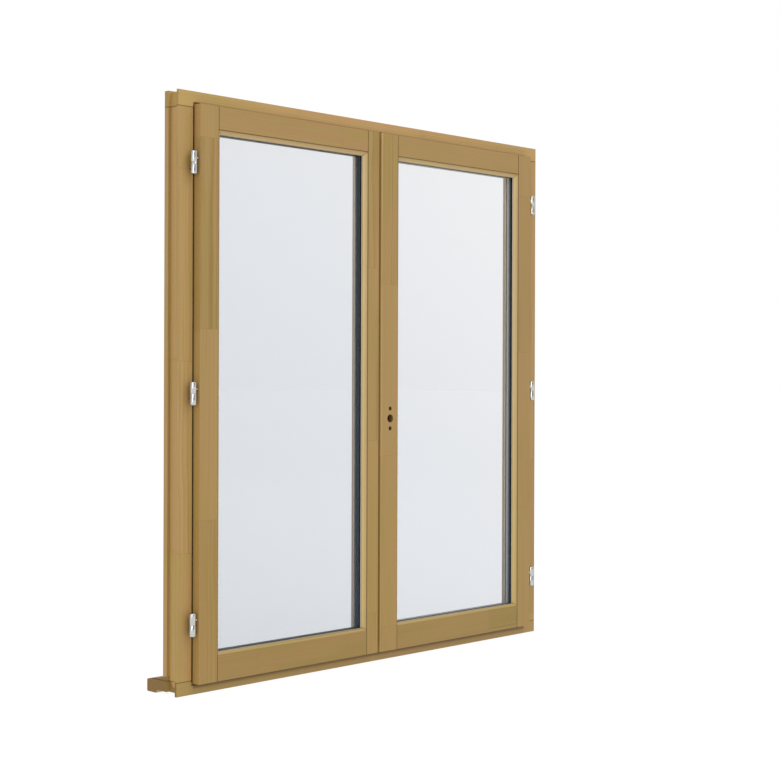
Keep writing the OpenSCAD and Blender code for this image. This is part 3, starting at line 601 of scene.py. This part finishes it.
def seal_rubber(name):
    """Extruded black rubber with a grey bloom and fine die lines."""
    look = settings().seal
    bench = Bench(name)
    point = bench.place()
    bloom = bench.noise(point, 45.0, 4.0).rise(0.40, 0.75)
    fine = bench.noise(point, 2400.0, 2.0)
    return bench.shader(
        Base_Color=bench.blend(look.rubber, look.bloom, bloom * 0.8 + fine * 0.15),
        Roughness=0.52 + bloom * 0.22,
        Normal=bench.relief(fine, 0.00005, 0.5),
        Specular_IOR_Level=0.4,
    )


def pale_sealant(name):
    """Smoothed silicone, slightly cloudy, with dust in its skin."""
    look = settings().seal
    bench = Bench(name)
    point = bench.place()
    cloud = bench.noise(point, 35.0, 3.0)
    dust = bench.noise(point, 1800.0, 2.0).rise(0.55, 0.75)
    tooled = bench.noise(point, 320.0, 2.0)
    return bench.shader(
        Base_Color=bench.blend(look.sealant, (0.40, 0.34, 0.23, 1.0), cloud * 0.5 + dust * 0.3),
        Roughness=0.38 + cloud * 0.15 + dust * 0.2,
        Normal=bench.relief(tooled, 0.0001, 0.5),
    )


def edge_compound(name):
    """The poured seal around the glass unit: dull, uneven and slightly tacky."""
    look = settings().seal
    bench = Bench(name)
    point = bench.place()
    lumps = bench.noise(point, 260.0, 3.0)
    return bench.shader(
        Base_Color=bench.blend(look.rubber, look.bloom, lumps * 0.5),
        Roughness=0.35 + lumps * 0.3,
        Normal=bench.relief(lumps, 0.0005, 0.7),
    )


def block_plastic(name):
    """Moulded plastic with a fine spark texture."""
    look = settings().seal
    bench = Bench(name)
    point = bench.place()
    grain = bench.noise(point, 1500.0, 2.0)
    flow = bench.noise(point, 40.0, 2.0)
    return bench.shader(
        Base_Color=bench.blend(look.block, (0.02, 0.03, 0.07, 1.0), flow),
        Roughness=0.42 + grain * 0.15,
        Normal=bench.relief(grain, 0.00006, 0.6),
    )


def studio_white(name):
    """The floor's matt pale paint."""
    bench = Bench(name)
    mottle = bench.noise(bench.place(), 3.0, 2.0)
    floor = settings().stage.floor
    return bench.shader(
        Base_Color=bench.blend(floor, [c * 0.99 for c in floor], mottle),
        Emission_Color=(1.0, 1.0, 1.0, 1.0),
        Emission_Strength=settings().stage.glow,
        Roughness=0.9,
        Specular_IOR_Level=0.0,
    )


# ---- mesh work ----


def dress(obj, material):
    """Puts one material on every face of a piece."""
    obj.data.materials.clear()
    obj.data.materials.append(material)


def soften(obj, radius, segments=2):
    """Rounds a piece's sharp edges."""
    weld = obj.modifiers.new("Weld", "WELD")
    weld.merge_threshold = 0.00002
    bevel = obj.modifiers.new("Rounded arris", "BEVEL")
    bevel.width = radius
    bevel.segments = segments
    bevel.limit_method = "ANGLE"
    bevel.angle_limit = math.radians(35)
    bevel.harden_normals = True
    bevel.miter_outer = "MITER_ARC"


def finish_node(node, material, radius=0.0, segments=2):
    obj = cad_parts[node]
    dress(obj, material)
    if radius:
        soften(obj, radius, segments)
    return obj


def new_piece(name, mesh, body, material):
    """A new object that rides on a body and takes its finish from a material slot."""
    obj = bpy.data.objects.new(name, mesh)
    bpy.context.scene.collection.objects.link(obj)
    dress(obj, material)
    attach(obj, body)
    return obj


def mesh_of(name, verts, faces, smooth=True):
    mesh = bpy.data.meshes.new(name)
    mesh.from_pydata([tuple(v) for v in verts], [], faces)
    mesh.validate()
    tool = bmesh.new()
    tool.from_mesh(mesh)
    bmesh.ops.recalc_face_normals(tool, faces=tool.faces)
    tool.to_mesh(mesh)
    tool.free()
    mesh.polygons.foreach_set("use_smooth", [smooth] * len(mesh.polygons))
    return mesh


def hoop(name, rect, outline):
    """A closed outline of (outward, y) points swept around a rectangle, with mitred corners."""
    x0, x1, z0, z1 = rect
    corners = ((x0, z0, -1, -1), (x1, z0, 1, -1), (x1, z1, 1, 1), (x0, z1, -1, 1))
    verts = [
        (x + sx * out, y, z + sz * out) for x, z, sx, sz in corners for out, y in outline]
    n = len(outline)
    faces = [
        (c * n + i, c * n + (i + 1) % n,
         (c + 1) % 4 * n + (i + 1) % n, (c + 1) % 4 * n + i)
        for c in range(4) for i in range(n)]
    return mesh_of(name, verts, faces)


def strip(name, outline, z0, z1):
    """A closed outline of (x, y) points drawn up from z0 to z1, with closed ends."""
    n = len(outline)
    verts = [(x, y, z) for z in (z0, z1) for x, y in outline]
    faces = [(i, (i + 1) % n, n + (i + 1) % n, n + i) for i in range(n)]
    faces += [tuple(range(n)), tuple(range(n, 2 * n))]
    return mesh_of(name, verts, faces, smooth=False)


def arc(cx, cy, rx, ry, start, stop, steps):
    """Points on part of an ellipse, angles in degrees."""
    angles = [
        math.radians(start + (stop - start) * i / steps) for i in range(steps + 1)]
    return [(cx + rx * math.cos(t), cy + ry * math.sin(t)) for t in angles]


def clusters(node, reach):
    """The separate solids of a node as (lowest, highest) corners."""
    found = []
    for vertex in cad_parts[node].data.vertices:
        p = vertex.co
        for lo, hi in found:
            if all(lo[i] - reach <= p[i] <= hi[i] + reach for i in range(3)):
                for i in range(3):
                    lo[i] = min(lo[i], p[i])
                    hi[i] = max(hi[i], p[i])
                break
        else:
            found.append((p.copy(), p.copy()))
    return found


def turned(outline, steps):
    """Vertices and faces of an outline of (radius, z) points turned about Z."""
    verts, faces = [], []
    for r, z in outline:
        verts += [
            (r * math.cos(2 * math.pi * i / steps), r * math.sin(2 * math.pi * i / steps), z)
            for i in range(steps)]
    for k in range(len(outline) - 1):
        for i in range(steps):
            j = (i + 1) % steps
            faces.append((k * steps + i, k * steps + j,
                          (k + 1) * steps + j, (k + 1) * steps + i))
    faces.append(tuple(range(steps)))
    faces.append(tuple(range((len(outline) - 1) * steps, len(outline) * steps)))
    return verts, faces


def cut_from(mesh, cutters):
    """The mesh with each cutter mesh taken out of it."""
    body = bpy.data.objects.new("cut_body", mesh)
    bpy.context.scene.collection.objects.link(body)
    tools = []
    for cutter in cutters:
        tool = bpy.data.objects.new("cutter", cutter)
        bpy.context.scene.collection.objects.link(tool)
        tools.append(tool)
        take = body.modifiers.new("Take", "BOOLEAN")
        take.operation = "DIFFERENCE"
        take.solver = "EXACT"
        take.object = tool
    bpy.context.view_layer.update()
    graph = bpy.context.evaluated_depsgraph_get()
    made = bpy.data.meshes.new_from_object(body.evaluated_get(graph))
    for obj in [body, *tools]:
        bpy.data.objects.remove(obj)
    return made


def crossed_screw(head_r, shank_r, length):
    """A countersunk screw along +Z with a cross recess in its head and a thread."""
    sink = head_r - shank_r
    outline = [(head_r, 0.0), (head_r, 0.0002), (shank_r * 1.05, sink)]
    turns = 6
    pitch = (length - sink) * 0.7 / turns
    start = length - sink - pitch * turns + sink * 0.2
    for i in range(turns):
        z = start + i * pitch
        outline += [(shank_r * 0.72, z), (shank_r, z + pitch * 0.45),
                    (shank_r * 0.72, z + pitch * 0.9)]
    outline += [(shank_r * 0.5, length - shank_r * 0.8), (shank_r * 0.08, length)]
    screw = mesh_of("screw", *turned(outline, 28), smooth=False)
    cutters = []
    for spin in (0, 90):
        w, d = head_r * 0.62, head_r * 0.13
        verts = [
            (sx * w * k, sy * d * k, z)
            for z, k in ((-0.001, 1.25), (head_r * 0.75, 0.35))
            for sx, sy in ((-1, -1), (1, -1), (1, 1), (-1, 1))]
        faces = [(0, 1, 2, 3), (4, 5, 6, 7), (0, 1, 5, 4), (1, 2, 6, 5), (2, 3, 7, 6),
                 (3, 0, 4, 7)]
        blade = mesh_of("blade", verts, faces, smooth=False)
        blade.transform(Matrix.Rotation(math.radians(spin), 4, "Z"))
        cutters.append(blade)
    return cut_from(screw, cutters)


def gather(name, mesh, places):
    """One mesh holding a copy of the mesh at each place, a matrix."""
    tool = bmesh.new()
    for place in places:
        copy = mesh.copy()
        copy.transform(place)
        tool.from_mesh(copy)
        bpy.data.meshes.remove(copy)
    made = bpy.data.meshes.new(name)
    tool.to_mesh(made)
    tool.free()
    return made


# ---- operators ----


class CASEMENT_OT_timber(bpy.types.Operator):
    """Stain the frame, the leaves, the beads and the drip bars"""

    bl_idname = "casement.timber"
    bl_label = "Timber"

    def execute(self, context):
        frame_seams = [(2, SILL_SEAM), (2, HEAD_SEAM)]
        members = [
            ("head", 0, 0.30, 1.26, frame_seams), ("left_jamb", 2, 0.9, 1.12, frame_seams),
            ("right_jamb", 2, 0.9, 1.06, frame_seams), ("sill", 0, 0.75, 1.02, frame_seams)]
        for side, sign in zip(SIDES, (-1, 1)):
            hinge_joint_and_shade = (0, sign * HINGE_SEAM)
            lock_joint_and_shade = (0, sign * LOCK_SEAM)
            # On the rails these lines are real joints; on the stiles they are painted shadow lines
            # along the inner arrises, as is the top rail's top line.
            members += [
                (f"{side}_hinge_stile", 2, 0.5, 0.95, [hinge_joint_and_shade]),
                (f"{side}_meeting_stile", 2, 0.5, 0.98, [lock_joint_and_shade]),
                (f"{side}_top_rail", 0, 0.9, 0.94, [hinge_joint_and_shade, lock_joint_and_shade, (2, TOP_SHADE_LINE)]),
                (f"{side}_bottom_rail", 0, 0.9, 0.88, [hinge_joint_and_shade, lock_joint_and_shade]),
                (f"{side}_drip_bar", 0, 0.7, 1.0, [])]
        radius = context.scene.casement.timber.arris
        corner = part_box("right_hinge_stile")[1]
        leaves = (corner.x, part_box("left_bottom_rail")[0].z, corner.z)
        for seed, (node, run, end_stain, lift, joint_and_shade_lines) in enumerate(members, 1):
            lo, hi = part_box(node)
            fixed = node in FIXED
            wood = timber(
                f"{node}_wood", run, (lo + hi) / 2, seed, end_stain, lift, joint_and_shade_lines,
                bores=BORES if node == "right_meeting_stile" else (),
                # Painted shade in the leaves' recess.
                recess_shade=0.0 if fixed else 0.38,
                amber=0.10 if fixed else 0.20,
                # Painted light on faces turned sideways.
                side_light=(1.14, 1.0) if fixed else (1.22, 1.22),
                leaves=leaves if node in ("head", "sill") else None)
            finish_node(node, wood, radius)
        for seed, side in enumerate(SIDES, 21):
            self.beads(f"{side}_glazing_beads", seed, radius)
        return {"FINISHED"}

    def beads(self, node, seed, radius):
        """Beads run both ways, so a share of the faces gets each grain."""
        lo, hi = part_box(node)
        centre = (lo + hi) / 2
        obj = finish_node(node, timber(f"{node}_upright", 2, centre, seed, 0.0), radius * 0.7)
        obj.data.materials.append(timber(f"{node}_level", 0, centre, seed + 2, 0.0))
        width = 0.5 * (hi.x - lo.x)
        height = 0.5 * (hi.z - lo.z)
        for face in obj.data.polygons:
            out = face.center - centre
            face.material_index = int(height - abs(out.z) < width - abs(out.x))


class CASEMENT_OT_glazing(bpy.types.Operator):
    """Finish the panes, spacers, edge seals and setting blocks"""

    bl_idname = "casement.glazing"
    bl_label = "Glazing"

    def execute(self, context):
        look = context.scene.casement.glass
        compound = edge_compound("edge_compound")
        plastic = block_plastic("block_plastic")
        sealant = pale_sealant("glazing_silicone")
        # Only the right leaf's spacer gets painted light on its weather side.
        for side, body, lit_share in ((SIDES[0], look.left, 0.0), (SIDES[1], look.right, 1.0)):
            glass = pane_glass(f"{side}_float_glass", body)
            finish_node(f"{side}_inner_glass", glass, 0.4 * MM, 1)
            finish_node(f"{side}_outer_glass", glass, 0.4 * MM, 1)
            spacer = spacer_metal(f"{side}_spacer_metal", 4 * MM, lit_share)
            finish_node(f"{side}_spacer_bar", spacer, 0.5 * MM)
            finish_node(f"{side}_edge_seal", compound, 0.4 * MM)
            finish_node(f"{side}_setting_blocks", plastic, 0.5 * MM)
            finish_node(f"{side}_glazing_seals", sealant, 0.6 * MM)
        return {"FINISHED"}


class CASEMENT_OT_hinges(bpy.types.Operator):
    """Finish the barrel hinges and their pins"""

    bl_idname = "casement.hinges"
    bl_label = "Hinges"

    def execute(self, context):
        zinc = zinc_plate("hinge_zinc")
        steel = drawn_steel("pin_steel", 2)
        edge = context.scene.casement.metal.edge
        for side in SIDES:
            for height in HEIGHTS:
                for half in ("frame_half", "leaf_half"):
                    finish_node(f"{side}_{height}_hinge_{half}", zinc, edge * 2)
            finish_node(f"{side}_hinge_pins", steel, edge)
        return {"FINISHED"}


class CASEMENT_OT_lockwork(bpy.types.Operator):
    """Finish the lock, rods, bolts and keepers, and make their screws"""

    bl_idname = "casement.lockwork"
    bl_label = "Lockwork"

    def execute(self, context):
        zinc = zinc_plate("plate_zinc")
        steel = drawn_steel("rod_steel", 2)
        gear = drawn_steel("gear_steel", 1)
        edge = context.scene.casement.metal.edge
        for node in ("head_keeper", "sill_keeper", "lock_case", "lock_faceplate", "bolt_cases"):
            finish_node(node, zinc, edge)
        for node in ("top_bolt", "bottom_bolt", "upper_lock_rod", "lower_lock_rod"):
            finish_node(node, steel, edge)
        finish_node("spindle_pinion", gear, edge * 0.5, 1)
        self.screws("faceplate_screws", "right_leaf", steel)
        self.screws("keeper_screws", "frame", steel)
        return {"FINISHED"}

    def screws(self, node, body, steel):
        """Screws with crossed heads in place of the plain ones, heads where theirs were."""
        places = []
        for lo, hi in clusters(node, 6 * MM):
            size = hi - lo
            run = max(range(3), key=lambda i: size[i])
            head_r = min(size) / 2
            length = size[run]
            middle = (lo + hi) / 2
            start = middle.copy()
            if run == 0:
                start.x = lo.x
                turn = Matrix.Rotation(math.radians(90), 4, "Y")
            elif middle.z > 0.5:
                start.z = lo.z
                turn = Matrix.Identity(4)
            else:
                start.z = hi.z
                turn = Matrix.Rotation(math.radians(180), 4, "X")
            spin = Matrix.Rotation(math.radians(37 * len(places)), 4, "Z")
            places.append(Matrix.Translation(start) @ turn @ spin)
        screw = crossed_screw(head_r, head_r / 2, length)
        mesh = gather(f"crossed_{node}", screw, places)
        obj = new_piece(f"crossed_{node}", mesh, body, steel)
        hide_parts(node)


class CASEMENT_OT_seals(bpy.types.Operator):
    """Make the bulb seals around the frame and between the leaves"""

    bl_idname = "casement.seals"
    bl_label = "Seals"

    def execute(self, context):
        rubber = seal_rubber("bulb_rubber")
        self.weather_seal(rubber)
        self.meeting_seal(rubber)
        return {"FINISHED"}

    def weather_seal(self, rubber):
        """A bulb on a barbed foot, all round the frame."""
        lo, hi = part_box("frame_weather_seal")
        half = 2 * MM
        rect = (lo.x + half, hi.x - half, lo.z + half, hi.z - half)
        base = lo.y + 3.6 * MM
        bulb = arc(0, lo.y + 1.9 * MM, half * 0.98, 1.9 * MM, 20, -200, 16)
        foot = [
            (-0.0019, base), (-0.0009, base), (-0.0007, base + 0.0008), (-0.001, base + 0.0009),
            (-0.0006, base + 0.0018), (-0.001, base + 0.0019), (0.0, hi.y),
            (0.001, base + 0.0019), (0.0006, base + 0.0018), (0.001, base + 0.0009),
            (0.0007, base + 0.0008), (0.0009, base), (0.0019, base)]
        mesh = hoop("bulb_weather_seal", rect, bulb + foot)
        obj = new_piece("bulb_weather_seal", mesh, "frame", rubber)
        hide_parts("frame_weather_seal")

    def meeting_seal(self, rubber):
        """A lipped strip let into the left leaf's meeting stile."""
        lo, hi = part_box("meeting_seal")
        edge = hi.x - 2.5 * MM
        middle = (lo.y + hi.y) / 2
        half = (hi.y - lo.y) / 2
        lip = arc(edge, middle, hi.x - edge, half, -90, 90, 12)
        foot = [
            (edge, middle + 0.0009), (edge - 0.0014, middle + 0.0007),
            (edge - 0.0015, middle + 0.001), (lo.x + 0.0006, middle + 0.0006),
            (lo.x, middle), (lo.x + 0.0006, middle - 0.0006),
            (edge - 0.0015, middle - 0.001), (edge - 0.0014, middle - 0.0007),
            (edge, middle - 0.0009)]
        mesh = strip("lipped_meeting_seal", lip + foot, lo.z, hi.z)
        obj = new_piece("lipped_meeting_seal", mesh, "left_leaf", rubber)
        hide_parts("meeting_seal")


class CASEMENT_OT_stage(bpy.types.Operator):
    """Set up the floor, the lights, the surround and the camera"""

    bl_idname = "casement.stage"
    bl_label = "Stage"

    def execute(self, context):
        look = context.scene.casement.stage
        self.floor()
        self.surround(context.scene, look)
        self.light("Key light", (-4.2, -3.2, 1.6), 3.0, look.key)
        self.light("Top light", (0.8, -3.0, 4.6), 3.0, look.top)
        self.light("Back light", (1.0, 4.5, 3.0), 3.0, look.top * 0.5)
        self.camera(context.scene, look)
        context.scene.view_settings.view_transform = "Standard"
        return {"FINISHED"}

    def floor(self):
        reach = 40.0
        verts = [(-reach, -reach, 0), (reach, -reach, 0), (reach, reach, 0), (-reach, reach, 0)]
        mesh = mesh_of("floor", verts, [(0, 1, 2, 3)], smooth=False)
        obj = bpy.data.objects.new("floor", mesh)
        bpy.context.scene.collection.objects.link(obj)
        dress(obj, studio_white("studio_floor"))

    def surround(self, scene, look):
        """White to the camera, dimmer as a light, with a dark card for the metal to mirror."""
        bench = Bench("White surround", "worlds")
        path = bench.node("ShaderNodeLightPath")
        seen = Wire(bench, path.socket.node.outputs["Is Camera Ray"])
        glossy = Wire(bench, path.socket.node.outputs["Is Glossy Ray"])
        heading = bench.node("ShaderNodeTexCoord", out="Generated")
        toward = bench.node(
            "ShaderNodeVectorMath", {"operation": "DOT_PRODUCT"},
            {0: heading, 1: look.card}, out="Value")
        card = toward.rise(0.88, 0.975) * glossy * 0.95
        strength = seen + (1 - seen) * (1 - card) * look.sky
        light = bench.node(
            "ShaderNodeBackground", values={"Color": (1.0, 1.0, 1.0, 1.0), "Strength": strength})
        bench.node("ShaderNodeOutputWorld", values={"Surface": light})
        scene.world = bench.block

    def light(self, name, place, size, power):
        lamp = bpy.data.lights.new(name, "AREA")
        lamp.shape = "SQUARE"
        lamp.size = size
        lamp.energy = power
        obj = bpy.data.objects.new(name, lamp)
        bpy.context.scene.collection.objects.link(obj)
        obj.location = place
        aim = Vector((0, 0, 0.58)) - obj.location
        obj.rotation_euler = aim.to_track_quat("-Z", "Y").to_euler()

    def camera(self, scene, look):
        lens = bpy.data.cameras.new("Camera")
        lens.lens = look.lens
        lens.sensor_width = 36.0
        lens.shift_y = look.drop
        obj = bpy.data.objects.new("Camera", lens)
        scene.collection.objects.link(obj)
        ahead = Vector((math.sin(look.turn), math.cos(look.turn), 0))
        level = Vector((math.cos(look.turn), -math.sin(look.turn), 0))
        upright = Vector((0, 0, 1))
        right = level * math.cos(look.roll) + upright * math.sin(look.roll)
        up = upright * math.cos(look.roll) - level * math.sin(look.roll)
        turn = Matrix((right, up, -ahead)).transposed().to_4x4()
        obj.matrix_world = Matrix.Translation(Vector(look.eye)) @ turn
        scene.camera = obj


class CASEMENT_PT_panel(bpy.types.Panel):
    """Steps that dress the window, in order"""

    bl_idname = "CASEMENT_PT_panel"
    bl_label = "Casement Window"
    bl_space_type = "VIEW_3D"
    bl_region_type = "UI"
    bl_category = "Casement"

    def draw(self, context):
        for step in STEPS:
            self.layout.operator(step.bl_idname)


STEPS = (
    CASEMENT_OT_timber,
    CASEMENT_OT_glazing,
    CASEMENT_OT_hinges,
    CASEMENT_OT_lockwork,
    CASEMENT_OT_seals,
    CASEMENT_OT_stage,
)
CLASSES = (
    TimberSettings,
    MetalSettings,
    GlassSettings,
    SealSettings,
    StageSettings,
    WindowSettings,
    *STEPS,
    CASEMENT_PT_panel,
)


def register():
    for cls in CLASSES:
        bpy.utils.register_class(cls)
    bpy.types.Scene.casement = bpy.props.PointerProperty(type=WindowSettings)


def unregister():
    del bpy.types.Scene.casement
    for cls in reversed(CLASSES):
        bpy.utils.unregister_class(cls)


def main():
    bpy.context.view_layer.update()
    register()
    bpy.ops.casement.timber()
    bpy.ops.casement.glazing()
    bpy.ops.casement.hinges()
    bpy.ops.casement.lockwork()
    bpy.ops.casement.seals()
    bpy.ops.casement.stage()


if __name__ == "__main__":
    main()
